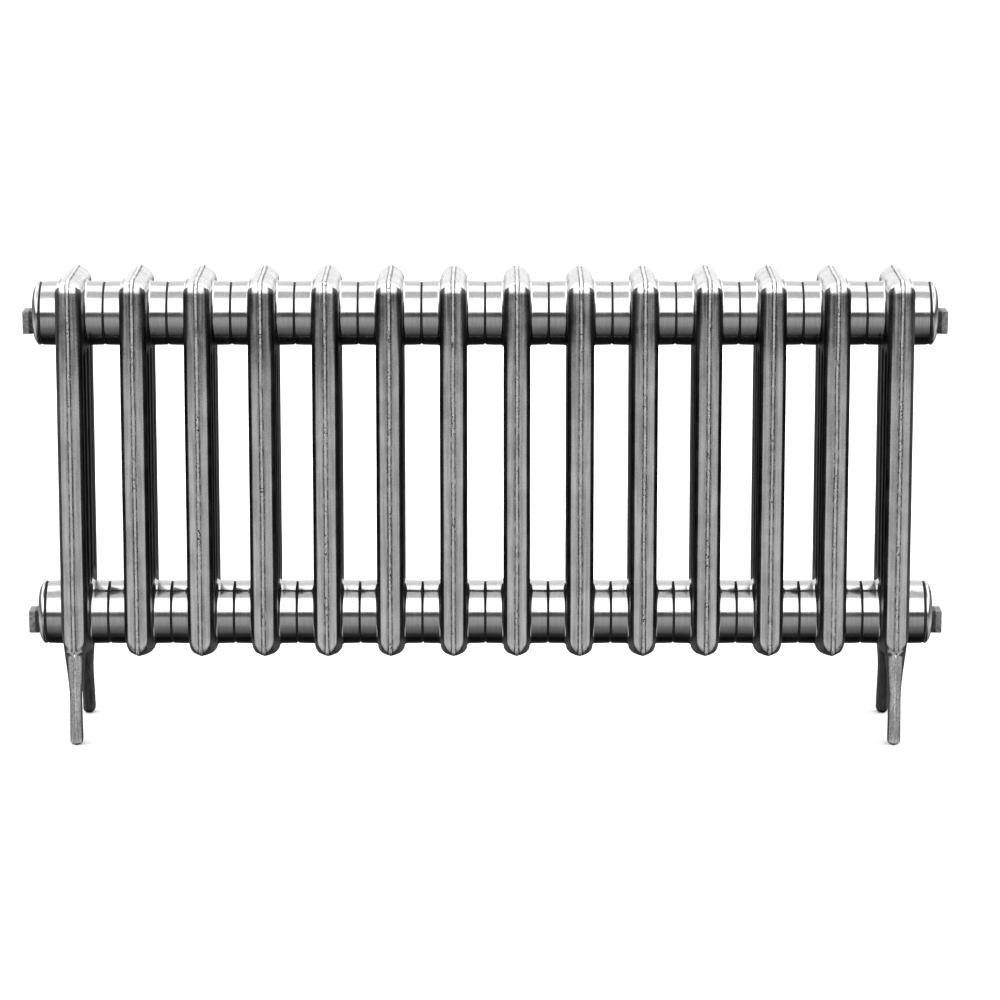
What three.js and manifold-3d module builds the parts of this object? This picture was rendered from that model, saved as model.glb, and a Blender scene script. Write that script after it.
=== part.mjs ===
// Legged cast iron column radiator: fourteen hollow four-column sections pulled together
// on threaded nipples, closed at the four corners by eccentric bushes and plugs.
// Millimetres, +Z up. X runs along the radiator, the front faces -Y, and the origin is on
// the floor under the middle of the radiator.

import * as THREE from "three";
import * as BufferGeometryUtils from "three/addons/utils/BufferGeometryUtils.js";
import Module from "manifold-3d";

const wasm = await Module();
wasm.setup();

// ---- Driving dimensions ----

const SECTION_COUNT = 14;
const SECTION_PITCH = 62;
const JOINT_GAP = 1;
const TOTAL_HEIGHT = 460;
const HUB_CENTRES = 300;
const UPPER_HUB_TO_TOP = 41.5;
const HUB_RADIUS = 31.5;

// Cross-section of a casting's rim: how far the outline is set in at each half width.
const RIDGE_HALF_WIDTH = 1.2;
const FACET_HALF_WIDTH = 9.5;
const FACET_INSET = 4.6;
const BODY_HALF_WIDTH = 13;
const BODY_INSET = 9;

// Side outline of a casting, measured from its hub centres.
const HALF_DEPTH = 65;
const TOP_CORNER_RADIUS = 14;
const BELLY_DROP = 41.6;
const LOW_CORNER_RADIUS = 12;
const LOW_CORNER_DROP = 20;

// Columns and the slots between them.
const COLUMN_COUNT = 4;
const COLUMN_PITCH = 35;
const SLOT_WIDTH = 10.5;
const SLOT_END_CLEARANCE = 36;

// Waterway: a flat ladder-shaped hollow, open at the four hubs.
const WATERWAY_HALF_WIDTH = 7.5;
const WATERWAY_INSET = 10;
const WATERWAY_CHAMFER = 10;
const WATERWAY_SIDE_DROP = 8;
const WATERWAY_FLOOR_DROP = 31;
const WATERWAY_FLOOR_HALF = 24;
const SLOT_WALL = 4.5;

// Feet of the two end sections, as [height, half width, front edge, back edge] of the
// front foot; the back foot mirrors it. Both lean towards the middle of the radiator.
const FOOT_RINGS = [
  [0, 4.9, -72.5, -57],
  [3, 6.2, -74.5, -55],
  [30, 6, -71.5, -52],
  [50, 5.7, -68, -48.5],
  [66, 7.4, -65, -45],
  [82, 9.4, -63.2, -42.5],
  [100, 11.6, -61.5, -41],
];
const FOOT_LEAN = 1.5;
const FOOT_RIDGE_HALF_WIDTH = 1;
const FOOT_FACET_DEPTH = 2.4;
const FOOT_BACK_DEPTH = 4;

// Threaded fittings.
const BORE_RADIUS = 21.2;
const THREAD_RADIUS = 20.8;
const NIPPLE_BORE_RADIUS = 16.5;
const NIPPLE_LENGTH = 34;
const FACE_GAP = 0.3;
const WASHER_THICKNESS = 1;
const WASHER_OUTER_RADIUS = 30.5;
const WASHER_INNER_RADIUS = 22;
const BUSH_SHANK_LENGTH = 18;
const BUSH_FLANGE_RADIUS = 31.5;
const BUSH_RIM_THICKNESS = 1.6;
const BUSH_FACE_RADIUS = 22.5;
const BUSH_HEIGHT = 6.8;
const TAPPING_DROP = 8;
const TAPPING_RADIUS = 10.5;
const PLUG_SHANK_RADIUS = 10.1;
const PLUG_SHANK_LENGTH = 15;
const PLUG_COLLAR_RADIUS = 11;
const PLUG_COLLAR_LENGTH = 4;
const PLUG_HEAD_SIZE = 23;
const PLUG_HEAD_LENGTH = 6.6;
const PLUG_CHAMFER = 1.6;

// Facets.
const CORNER_STEPS = 2;
const BELLY_STEPS = 4;
const SLOT_END_STEPS = 3;
const SLOT_WALL_STEPS = 2;
const HUB_SIDES = 16;
const BORE_SIDES = 12;
const OVERSHOOT = 2;

// ---- Derived sizes ----

const CASTING_HALF = (SECTION_PITCH - JOINT_GAP) / 2;
const UPPER_HUB = TOTAL_HEIGHT - UPPER_HUB_TO_TOP;
const LOWER_HUB = UPPER_HUB - HUB_CENTRES;
const FIRST_SECTION_X = -(SECTION_PITCH * (SECTION_COUNT - 1)) / 2;
const END_FACE_X = FIRST_SECTION_X - CASTING_HALF;
const BELLY_RADIUS = bellyRadius();

// The belly's arc runs smoothly into the arcs of the two lower corners.
function bellyRadius() {
  const reach = HALF_DEPTH - LOW_CORNER_RADIUS;
  const rise = BELLY_DROP - LOW_CORNER_DROP;
  const squares = reach ** 2 + rise ** 2 - LOW_CORNER_RADIUS ** 2;
  return squares / (2 * (rise - LOW_CORNER_RADIUS));
}

// ---- Materials ----

function castIron() {
  return new THREE.MeshStandardMaterial({ color: 0x8c8c8c, roughness: 0.32, metalness: 1 });
}

function nippleSteel() {
  return new THREE.MeshStandardMaterial({ color: 0x77746e, roughness: 0.45, metalness: 1 });
}

function fittingSteel() {
  return new THREE.MeshStandardMaterial({ color: 0xa4a4a2, roughness: 0.28, metalness: 1 });
}

function washerRubber() {
  return new THREE.MeshStandardMaterial({ color: 0x1c1c1c, roughness: 0.7, metalness: 0 });
}

// ---- Solids ----

function geometryFrom(vertices, triangles) {
  const geometry = new THREE.BufferGeometry();
  geometry.setAttribute("position", new THREE.Float32BufferAttribute(vertices, 3));
  geometry.setIndex(triangles);
  return geometry;
}

// Rings of equal point counts joined by walls and closed by a flat cap at each end. Each
// ring runs counter-clockwise seen from the end that the rings advance towards.
function loft(rings) {
  const count = rings[0].length;
  const triangles = [];
  for (let ring = 0; ring < rings.length - 1; ring += 1) {
    for (let i = 0; i < count; i += 1) {
      const next = (i + 1) % count;
      const near = ring * count;
      const far = near + count;
      triangles.push(near + i, near + next, far + next, near + i, far + next, far + i);
    }
  }
  const last = (rings.length - 1) * count;
  for (let i = 1; i < count - 1; i += 1) {
    triangles.push(0, i + 1, i, last, last + i, last + i + 1);
  }
  return geometryFrom(rings.flat(2), triangles);
}

// A flat outline in Y and Z carried along X.
function prism(outline, fromX, toX) {
  return loft([fromX, toX].map((x) => outline.map(([y, z]) => [x, y, z])));
}

function toSolid(geometry) {
  const bare = geometry.clone();
  bare.deleteAttribute("normal");
  bare.deleteAttribute("uv");
  const merged = BufferGeometryUtils.mergeVertices(bare);
  const vertProperties = Float32Array.from(merged.attributes.position.array);
  const triVerts = Uint32Array.from(merged.index.array);
  return new wasm.Manifold(new wasm.Mesh({ numProp: 3, vertProperties, triVerts }));
}

function toGeometry(solid) {
  const mesh = solid.getMesh();
  const geometry = geometryFrom(mesh.vertProperties, Array.from(mesh.triVerts));
  geometry.computeVertexNormals();
  return geometry;
}

// Points of an arc in the Y and Z plane, from one angle to another, both ends included.
function arc(centreY, centreZ, radius, fromAngle, toAngle, steps) {
  return Array.from({ length: steps + 1 }, (_, i) => {
    const angle = fromAngle + ((toAngle - fromAngle) * i) / steps;
    return [centreY + radius * Math.cos(angle), centreZ + radius * Math.sin(angle)];
  });
}

function circle(centreY, centreZ, radius, sides) {
  return arc(centreY, centreZ, radius, 0, 2 * Math.PI, sides).slice(0, sides);
}

// ---- Castings ----

// Side outline of a casting, set in all round by one distance: a flat top with round
// corners, straight front and back, and a belly that hangs lowest in the middle.
function sideOutline(inset) {
  const topCentreY = HALF_DEPTH - TOP_CORNER_RADIUS;
  const topCentreZ = UPPER_HUB + UPPER_HUB_TO_TOP - TOP_CORNER_RADIUS;
  const lowCentreY = HALF_DEPTH - LOW_CORNER_RADIUS;
  const lowCentreZ = LOWER_HUB - LOW_CORNER_DROP;
  const bellyCentreZ = LOWER_HUB - BELLY_DROP + BELLY_RADIUS;
  const bellyHalfAngle = Math.atan2(lowCentreY, bellyCentreZ - lowCentreZ);
  const down = -Math.PI / 2;
  const topRadius = TOP_CORNER_RADIUS - inset;
  const lowRadius = LOW_CORNER_RADIUS - inset;
  const bellyStart = down - bellyHalfAngle;
  const bellyEnd = down + bellyHalfAngle;
  const belly = arc(0, bellyCentreZ, BELLY_RADIUS - inset, bellyStart, bellyEnd, BELLY_STEPS);
  return [
    ...arc(topCentreY, topCentreZ, topRadius, 0, Math.PI / 2, CORNER_STEPS),
    ...arc(-topCentreY, topCentreZ, topRadius, Math.PI / 2, Math.PI, CORNER_STEPS),
    ...arc(-lowCentreY, lowCentreZ, lowRadius, -Math.PI, bellyStart, CORNER_STEPS),
    ...belly.slice(1, -1),
    ...arc(lowCentreY, lowCentreZ, lowRadius, bellyEnd, 0, CORNER_STEPS),
  ];
}

// The casting's plate with its raised ridge and two facets running all round the rim.
function bodySolid() {
  const widths = [
    [BODY_HALF_WIDTH, BODY_INSET],
    [FACET_HALF_WIDTH, FACET_INSET],
    [RIDGE_HALF_WIDTH, 0],
  ];
  const left = widths.map(([half, inset]) => [-half, inset]);
  const right = widths.map(([half, inset]) => [half, inset]).reverse();
  const rings = [...left, ...right].map(([x, inset]) => {
    return sideOutline(inset).map(([y, z]) => [x, y, z]);
  });
  return toSolid(loft(rings));
}

// The round-ended opening between two columns, grown by a wall thickness where asked.
function slotSolid(centreY, wall, halfWidth, steps) {
  const radius = SLOT_WIDTH / 2 + wall;
  const low = LOWER_HUB + SLOT_END_CLEARANCE + SLOT_WIDTH / 2;
  const high = UPPER_HUB - SLOT_END_CLEARANCE - SLOT_WIDTH / 2;
  const outline = [
    ...arc(centreY, high, radius, 0, Math.PI, steps),
    ...arc(centreY, low, radius, -Math.PI, 0, steps),
  ];
  return toSolid(prism(outline, -halfWidth, halfWidth));
}

function slotCentres() {
  const middle = (COLUMN_COUNT - 2) / 2;
  return Array.from({ length: COLUMN_COUNT - 1 }, (_, i) => (i - middle) * COLUMN_PITCH);
}

// Half of the waterway's side outline, up the +Y side; the other half mirrors it.
function waterwayHalfOutline() {
  const side = HALF_DEPTH - WATERWAY_INSET;
  const ceiling = TOTAL_HEIGHT - WATERWAY_INSET;
  return [
    [WATERWAY_FLOOR_HALF, LOWER_HUB - WATERWAY_FLOOR_DROP],
    [side, LOWER_HUB - WATERWAY_SIDE_DROP],
    [side, ceiling - WATERWAY_CHAMFER],
    [side - WATERWAY_CHAMFER, ceiling],
  ];
}

function waterwaySolid() {
  const half = waterwayHalfOutline();
  const outline = [...half, ...half.map(([y, z]) => [-y, z]).reverse()];
  let water = toSolid(prism(outline, -WATERWAY_HALF_WIDTH, WATERWAY_HALF_WIDTH));
  for (const centreY of slotCentres()) {
    const past = WATERWAY_HALF_WIDTH + OVERSHOOT;
    water = water.subtract(slotSolid(centreY, SLOT_WALL, past, SLOT_WALL_STEPS));
  }
  const reach = CASTING_HALF + OVERSHOOT;
  for (const hub of [LOWER_HUB, UPPER_HUB]) {
    water = water.add(toSolid(prism(circle(0, hub, BORE_RADIUS, BORE_SIDES), -reach, reach)));
  }
  return water;
}

// One ring of a foot, ordered for a loft that climbs along +Z.
function footRing([height, halfWidth, front, back]) {
  const lean = FOOT_LEAN * (1 - height / FOOT_RINGS.at(-1)[0]);
  const outline = [
    [-FOOT_RIDGE_HALF_WIDTH, front, height],
    [FOOT_RIDGE_HALF_WIDTH, front, height],
    [halfWidth, front + FOOT_FACET_DEPTH, height],
    [halfWidth, back - FOOT_BACK_DEPTH, height],
    [halfWidth / 2, back, height],
    [-halfWidth / 2, back, height],
    [-halfWidth, back - FOOT_BACK_DEPTH, height],
    [-halfWidth, front + FOOT_FACET_DEPTH, height],
  ];
  return outline.map(([x, y, z]) => [x + lean, y, z]);
}

// The front foot, or with side 1 its mirror image at the back.
function footSolid(side) {
  const rings = FOOT_RINGS.map(footRing);
  if (side > 0) {
    const mirrored = rings.map((ring) => ring.map(([x, y, z]) => [x, -y, z]).reverse());
    return toSolid(loft(mirrored));
  }
  return toSolid(loft(rings));
}

function castingSolid(legged) {
  let casting = bodySolid();
  for (const centreY of slotCentres()) {
    const past = BODY_HALF_WIDTH + OVERSHOOT;
    casting = casting.subtract(slotSolid(centreY, 0, past, SLOT_END_STEPS));
  }
  for (const hub of [LOWER_HUB, UPPER_HUB]) {
    const tube = prism(circle(0, hub, HUB_RADIUS, HUB_SIDES), -CASTING_HALF, CASTING_HALF);
    casting = casting.add(toSolid(tube));
  }
  if (legged) {
    casting = casting.add(footSolid(-1)).add(footSolid(1));
  }
  return casting.subtract(waterwaySolid());
}

// ---- Fittings ----

function ringGeometry(outerRadius, innerRadius, length, sides) {
  const outer = toSolid(prism(circle(0, 0, outerRadius, sides), -length / 2, length / 2));
  const reach = length / 2 + OVERSHOOT;
  const hole = toSolid(prism(circle(0, 0, innerRadius, sides), -reach, reach));
  return toGeometry(outer.subtract(hole));
}

function nippleGeometry() {
  return ringGeometry(THREAD_RADIUS, NIPPLE_BORE_RADIUS, NIPPLE_LENGTH, BORE_SIDES);
}

function washerGeometry() {
  return ringGeometry(WASHER_OUTER_RADIUS, WASHER_INNER_RADIUS, WASHER_THICKNESS, HUB_SIDES);
}

// Eccentric bush: its seat is at X = 0 and it stands out towards -X. The shank screws into
// the hub, and the tapping for the plug is set low.
function bushGeometry() {
  const flange = [
    [-BUSH_HEIGHT, BUSH_FACE_RADIUS],
    [-BUSH_RIM_THICKNESS, BUSH_FLANGE_RADIUS],
    [0, BUSH_FLANGE_RADIUS],
  ];
  const flangeRings = flange.map(([x, radius]) => {
    return circle(0, 0, radius, HUB_SIDES).map(([y, z]) => [x, y, z]);
  });
  const shankOutline = circle(0, 0, THREAD_RADIUS, BORE_SIDES);
  const shank = toSolid(prism(shankOutline, -BUSH_RIM_THICKNESS, BUSH_SHANK_LENGTH));
  const tappingOutline = circle(0, -TAPPING_DROP, TAPPING_RADIUS, BORE_SIDES);
  const tappingEnd = BUSH_SHANK_LENGTH + OVERSHOOT;
  const tapping = toSolid(prism(tappingOutline, -BUSH_HEIGHT - OVERSHOOT, tappingEnd));
  return toGeometry(toSolid(loft(flangeRings)).add(shank).subtract(tapping));
}

// Square-headed plug: its shank starts at X = 0 and runs to +X. A round collar stands
// towards -X, and the square head beyond it.
function plugGeometry() {
  const half = PLUG_HEAD_SIZE / 2;
  const small = half - PLUG_CHAMFER;
  const outer = -PLUG_COLLAR_LENGTH - PLUG_HEAD_LENGTH;
  const square = (size, x) => [[x, size, size], [x, -size, size], [x, -size, -size], [x, size, -size]];
  const head = toSolid(loft([
    square(small, outer),
    square(half, outer + PLUG_CHAMFER),
    square(half, -PLUG_COLLAR_LENGTH),
  ]));
  const inside = -PLUG_COLLAR_LENGTH - OVERSHOOT;
  const collarOutline = circle(0, 0, PLUG_COLLAR_RADIUS, BORE_SIDES);
  const collar = toSolid(prism(collarOutline, inside, -FACE_GAP));
  const shankOutline = circle(0, 0, PLUG_SHANK_RADIUS, BORE_SIDES);
  const shank = toSolid(prism(shankOutline, inside, PLUG_SHANK_LENGTH));
  return toGeometry(head.add(collar).add(shank));
}

// ---- Assembly ----

const radiator = new THREE.Group();

function place(name, geometry, material, x, z, mirrored = false) {
  const mesh = new THREE.Mesh(geometry, material);
  mesh.name = name;
  mesh.position.set(x, 0, z);
  if (mirrored) {
    mesh.rotation.z = Math.PI;
  }
  radiator.add(mesh);
}

function numbered(stem, index) {
  return `${stem}_${String(index + 1).padStart(2, "0")}`;
}

function addCastings() {
  const plain = toGeometry(castingSolid(false));
  const legged = toGeometry(castingSolid(true));
  const iron = castIron();
  for (let i = 0; i < SECTION_COUNT; i += 1) {
    const isEnd = i === 0 || i === SECTION_COUNT - 1;
    const x = FIRST_SECTION_X + i * SECTION_PITCH;
    const isLast = i === SECTION_COUNT - 1;
    place(numbered("section", i), isEnd ? legged : plain, iron, x, 0, isLast);
  }
}

function addNipples() {
  const geometry = nippleGeometry();
  const steel = nippleSteel();
  for (let i = 0; i < SECTION_COUNT - 1; i += 1) {
    const x = FIRST_SECTION_X + (i + 0.5) * SECTION_PITCH;
    place(numbered("nipple_top", i), geometry, steel, x, UPPER_HUB);
    place(numbered("nipple_bottom", i), geometry, steel, x, LOWER_HUB);
  }
}

function addEndFittings() {
  const washer = washerGeometry();
  const bush = bushGeometry();
  const plug = plugGeometry();
  const rubber = washerRubber();
  const steel = fittingSteel();
  const washerX = END_FACE_X - FACE_GAP - WASHER_THICKNESS / 2;
  const bushX = washerX - WASHER_THICKNESS / 2 - FACE_GAP;
  const plugX = bushX - BUSH_HEIGHT;
  for (const [level, hub] of [["top", UPPER_HUB], ["bottom", LOWER_HUB]]) {
    for (const [end, side] of [["left", 1], ["right", -1]]) {
      place(`washer_${level}_${end}`, washer, rubber, side * washerX, hub, side < 0);
      place(`bush_${level}_${end}`, bush, steel, side * bushX, hub, side < 0);
      place(`plug_${level}_${end}`, plug, steel, side * plugX, hub - TAPPING_DROP, side < 0);
    }
  }
}

addCastings();
addNipples();
addEndFittings();

export default radiator;
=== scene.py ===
import math

import bpy
import numpy as np
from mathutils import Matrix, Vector
from mathutils.geometry import tessellate_polygon


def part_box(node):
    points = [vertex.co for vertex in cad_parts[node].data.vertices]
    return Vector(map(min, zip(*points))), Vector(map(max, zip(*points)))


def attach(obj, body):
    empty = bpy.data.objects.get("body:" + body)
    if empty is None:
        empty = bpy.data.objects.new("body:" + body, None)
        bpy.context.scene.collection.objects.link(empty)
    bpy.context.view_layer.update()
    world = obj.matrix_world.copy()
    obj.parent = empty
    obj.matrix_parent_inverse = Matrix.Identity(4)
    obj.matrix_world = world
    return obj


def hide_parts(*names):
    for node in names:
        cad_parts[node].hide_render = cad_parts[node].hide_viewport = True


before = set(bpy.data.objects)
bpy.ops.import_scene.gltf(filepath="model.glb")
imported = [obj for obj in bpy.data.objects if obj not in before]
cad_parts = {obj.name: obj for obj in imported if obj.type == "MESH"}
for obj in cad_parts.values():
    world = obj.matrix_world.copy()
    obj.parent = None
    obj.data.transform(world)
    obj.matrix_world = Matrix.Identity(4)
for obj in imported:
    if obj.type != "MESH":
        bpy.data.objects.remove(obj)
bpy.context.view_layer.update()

# Legged cast iron column radiator. Shapes are worked out in millimetres and written to the
# meshes in metres, in the frame of the CAD model: X along the sections, front at -Y, Z up.
MM = 0.001

# ---- Places, read from the frame ----


def box_mm(node):
    """Lowest and highest corners of a CAD node, in millimetres."""
    return [np.array(corner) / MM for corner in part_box(node)]


SECTION_NODES = sorted(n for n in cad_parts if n.startswith("section_"))
SECTION_COUNT = len(SECTION_NODES)
SECTION_X = [sum(box_mm(node))[0] / 2 for node in SECTION_NODES]
SECTION_PITCH = SECTION_X[1] - SECTION_X[0]
PLAIN_LOW, PLAIN_HIGH = box_mm(SECTION_NODES[1])
CASTING_HALF = (PLAIN_HIGH[0] - PLAIN_LOW[0]) / 2
HALF_DEPTH = PLAIN_HIGH[1]
TOTAL_HEIGHT = PLAIN_HIGH[2]
UPPER_HUB = sum(box_mm("nipple_top_01"))[2] / 2
LOWER_HUB = sum(box_mm("nipple_bottom_01"))[2] / 2
JOINT_GAP = SECTION_PITCH - 2 * CASTING_HALF

# ---- Shape of a casting, mm ----

TOP_CORNER_RADIUS = 14.0
TOP_INSET_SHARE = 1.2
LOW_CORNER_RADIUS = 5.6
LOW_CORNER_GROWTH = 1.9
LOW_CORNER_BOTTOM = 31.6
LOW_INSET_SHARE = 0.62
BELLY_DROP = LOWER_HUB - PLAIN_LOW[2]
BODY_HALF_WIDTH = 13.0

# Rim from the ridge inwards: how far the outline is set in, and the half width there.
RIM = [
    (0.00, 0.00),
    (0.06, 0.45),
    (0.26, 0.85),
    (0.70, 1.15),
    (1.30, 1.40),
    (1.78, 1.70),
    (1.92, 2.05),
    (1.84, 2.40),
    (1.86, 2.75),
    (2.10, 3.40),
    (3.10, 5.60),
    (4.05, 7.70),
    (4.45, 8.55),
    (4.90, 9.20),
    (5.50, 9.80),
    (6.30, 10.50),
    (7.30, 11.25),
    (8.50, 11.95),
    (9.80, 12.55),
    (11.00, 12.90),
    (11.90, 13.00),
    (12.60, 13.00),
]
BEAD_HALF_WIDTH = 1.6
GROOVE_HALF_WIDTH = 2.9
BEAD_HEIGHT = 1.9

COLUMN_PITCH = 35.0
SLOT_HALF = 5.25
SLOT_END_CLEARANCE = 36.0
SLOT_EDGE_RADIUS = 8.0
SLOT_EDGE_ROWS = 8
SLOT_EDGE_MARGIN = 0.5

HUB_RADIUS = 31.5
HUB_FILLET = 3.0
HUB_FILLET_ROWS = 5
HUB_BARREL_ROWS = 7
HUB_EDGE_ROWS = 3
HUB_ROOT = (8.0, 29.0)
HUB_SINK = 0.15
HUB_LAST_ROW = 0.97
HUB_TAPER = 0.3
HUB_CHAMFER = 0.9
BORE_RADIUS = 21.2
BORE_REACH = 40.0
HUB_SIDES = 96

SIDE_STEPS = 84
TOP_STEPS = 26
CORNER_STEPS = 12
BELLY_STEPS = 26
SMOOTH_ANGLE = 32.0

# ---- Meshes ----


class Solid:
    """Vertices and faces in millimetres, gathered ring by ring."""

    def __init__(self):
        self.points = []
        self.faces = []

    def ring(self, points):
        start = len(self.points)
        self.points.extend(tuple(p) for p in points)
        return list(range(start, len(self.points)))

    def section_ring(self, x, outline):
        """A ring at one X from an outline in Y and Z."""
        return self.ring((x, y, z) for y, z in outline)

    def strip(self, first, second):
        """Quads from one ring to the next; the rings turn the same way."""
        count = len(first)
        for i in range(count):
            j = (i + 1) % count
            self.faces.append((first[i], first[j], second[j], second[i]))

    def strips(self, rings):
        for first, second in zip(rings, rings[1:]):
            self.strip(first, second)

    def fill(self, outer, holes, towards):
        """Flat triangles between an outer ring and the holes in it, facing +X or -X."""
        loops = [outer, *holes]
        order = [index for loop in loops for index in loop]
        flat = [[Vector(self.points[i][1:]) for i in loop] for loop in loops]
        for a, b, c in tessellate_polygon([[p.to_3d() for p in loop] for loop in flat]):
            ia, ib, ic = order[a], order[b], order[c]
            (ya, za), (yb, zb), (yc, zc) = (self.points[i][1:] for i in (ia, ib, ic))
            turn = (yb - ya) * (zc - za) - (yc - ya) * (zb - za)
            if turn * towards < 0:
                ib, ic = ic, ib
            self.faces.append((ia, ib, ic))

    def array(self):
        return np.array(self.points, dtype=float)


def shade(mesh):
    """Smooth shading, with sharp edges where faces turn more than the smooth angle."""
    mesh.shade_smooth()
    mesh.set_sharp_from_angle(angle=math.radians(SMOOTH_ANGLE))


def new_object(name, points, faces, material):
    mesh = bpy.data.meshes.new(name)
    mesh.from_pydata((np.asarray(points) * MM).tolist(), [], faces)
    shade(mesh)
    mesh.materials.append(material)
    made = bpy.data.objects.new(name, mesh)
    bpy.context.scene.collection.objects.link(made)
    return made


def declare(piece, slot, *nodes):
    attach(piece, "root")
    if nodes:
        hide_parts(*nodes)


def arc(cy, cz, radius, start, end, steps):
    """Points of an arc without its last one, angles in radians."""
    angles = start + (end - start) * np.arange(steps) / steps
    return [(cy + radius * math.cos(a), cz + radius * math.sin(a)) for a in angles]


def line(start, end, steps):
    """Points of a straight run without its last one."""
    share = np.arange(steps) / steps
    return [tuple(np.array(start) * (1 - s) + np.array(end) * s) for s in share]


def circle(cy, cz, radius, sides):
    return arc(cy, cz, radius, 0, 2 * math.pi, sides)


# ---- Casting ----


def side_outline(inset):
    """Side outline of a casting, counter-clockwise seen from +X, set in by a distance. The
    lower corners are tighter at the ridge than on the flanks."""
    side = HALF_DEPTH - inset
    top = TOTAL_HEIGHT - TOP_INSET_SHARE * inset
    top_r = TOP_CORNER_RADIUS - inset
    low_r = LOW_CORNER_RADIUS + LOW_CORNER_GROWTH * inset
    lift = LOW_INSET_SHARE * inset
    low_y, low_z = side - low_r, LOWER_HUB - LOW_CORNER_BOTTOM + lift + low_r
    bottom = LOWER_HUB - BELLY_DROP + lift
    rise = low_z - bottom
    belly_r = (low_y**2 + rise**2 - low_r**2) / (2 * (rise - low_r))
    lean = math.atan2(low_y, bottom + belly_r - low_z)
    top_y, top_z = side - top_r, top - top_r
    quarter = math.pi / 2
    return [
        *line((side, low_z), (side, top_z), SIDE_STEPS),
        *arc(top_y, top_z, top_r, 0, quarter, CORNER_STEPS),
        *line((top_y, top), (-top_y, top), TOP_STEPS),
        *arc(-top_y, top_z, top_r, quarter, 2 * quarter, CORNER_STEPS),
        *line((-side, top_z), (-side, low_z), SIDE_STEPS),
        *arc(-low_y, low_z, low_r, 2 * quarter, 3 * quarter - lean, CORNER_STEPS),
        *arc(0, bottom + belly_r, belly_r, 3 * quarter - lean, 3 * quarter + lean, BELLY_STEPS),
        *arc(low_y, low_z, low_r, 3 * quarter + lean, 4 * quarter, CORNER_STEPS),
    ]


def slot_outline(cy, distance):
    """Outline of the opening between two columns, grown by a distance."""
    radius = SLOT_HALF + distance
    low = LOWER_HUB + SLOT_END_CLEARANCE + SLOT_HALF
    high = UPPER_HUB - SLOT_END_CLEARANCE - SLOT_HALF
    steps = SIDE_STEPS // 3
    return [
        *line((cy + radius, low), (cy + radius, high), steps),
        *arc(cy, high, radius, 0, math.pi, 2 * CORNER_STEPS),
        *line((cy - radius, high), (cy - radius, low), steps),
        *arc(cy, low, radius, math.pi, 2 * math.pi, 2 * CORNER_STEPS),
    ]


def hub_profile():
    """Half width and radius down a hub, from its root inside the plate to its face."""
    rows = [HUB_ROOT]
    for k in range(HUB_FILLET_ROWS + 1):
        turn = (math.pi / 2) * k / HUB_FILLET_ROWS
        x = BODY_HALF_WIDTH - HUB_SINK + HUB_FILLET * (1 - math.cos(turn))
        rows.append((x, HUB_RADIUS + HUB_FILLET * (1 - math.sin(turn))))
    start = rows[-1][0]
    length = CASTING_HALF - HUB_CHAMFER - start
    shares = [k / HUB_BARREL_ROWS for k in range(1, HUB_BARREL_ROWS)]
    for share in [*shares, HUB_LAST_ROW, 1.0]:
        rows.append((start + length * share, HUB_RADIUS - HUB_TAPER * share**2))
    rim = HUB_RADIUS - HUB_TAPER
    for k in range(1, HUB_EDGE_ROWS + 1):
        turn = (math.pi / 2) * k / HUB_EDGE_ROWS
        out = CASTING_HALF - HUB_CHAMFER * (1 - math.sin(turn))
        rows.append((out, rim - HUB_CHAMFER * (1 - math.cos(turn))))
    return rows


def slot_rows(solid, side, cy):
    """Rings of a slot's rounded edge on one side, from the flat of the plate inwards."""
    flat_edge = slot_outline(cy, SLOT_EDGE_RADIUS + SLOT_EDGE_MARGIN)
    rows = [solid.section_ring(side * BODY_HALF_WIDTH, flat_edge)]
    for row in range(SLOT_EDGE_ROWS + 1):
        turn = (math.pi / 2) * row / SLOT_EDGE_ROWS
        distance = SLOT_EDGE_RADIUS * (1 - math.sin(turn))
        drop = SLOT_EDGE_RADIUS * (1 - math.cos(turn))
        rows.append(solid.section_ring(side * (BODY_HALF_WIDTH - drop), slot_outline(cy, distance)))
    return rows


def plate_solid():
    """The flat body of a casting: its rim all round and the slots between the columns."""
    solid = Solid()
    ridge = solid.section_ring(0.0, side_outline(RIM[0][0]))
    slots = {}
    for side in (1, -1):
        rim = [ridge]
        for inset, half in RIM[1:]:
            rim.append(solid.section_ring(side * half, side_outline(inset)))
        slots[side] = [slot_rows(solid, side, k * COLUMN_PITCH) for k in (-1, 0, 1)]
        start = len(solid.faces)
        for rings in (rim, *slots[side]):
            solid.strips(rings)
        if side < 0:
            solid.faces[start:] = [face[::-1] for face in solid.faces[start:]]
            for right, left in zip(slots[1], slots[-1]):
                solid.strip(right[-1], left[-1])
        solid.fill(rim[-1], [rows[0] for rows in slots[side]], side)
    return solid


def hub_solid(height):
    """A hub right through the plate, solid until its bore is cut."""
    solid = Solid()
    profile = hub_profile()
    profile = [*[(-x, r) for x, r in reversed(profile)], *profile]
    rings = [solid.section_ring(x, circle(0, height, r, HUB_SIDES)) for x, r in profile]
    solid.strips(rings)
    solid.faces.append(tuple(reversed(rings[0])))
    solid.faces.append(tuple(rings[-1]))
    return solid


def bore_solid(height):
    solid = Solid()
    reach = (-BORE_REACH, BORE_REACH)
    rings = [solid.section_ring(x, circle(0, height, BORE_RADIUS, HUB_SIDES)) for x in reach]
    solid.strips(rings)
    solid.faces.append(tuple(reversed(rings[0])))
    solid.faces.append(tuple(rings[-1]))
    return solid


# ---- Feet ----

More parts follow.
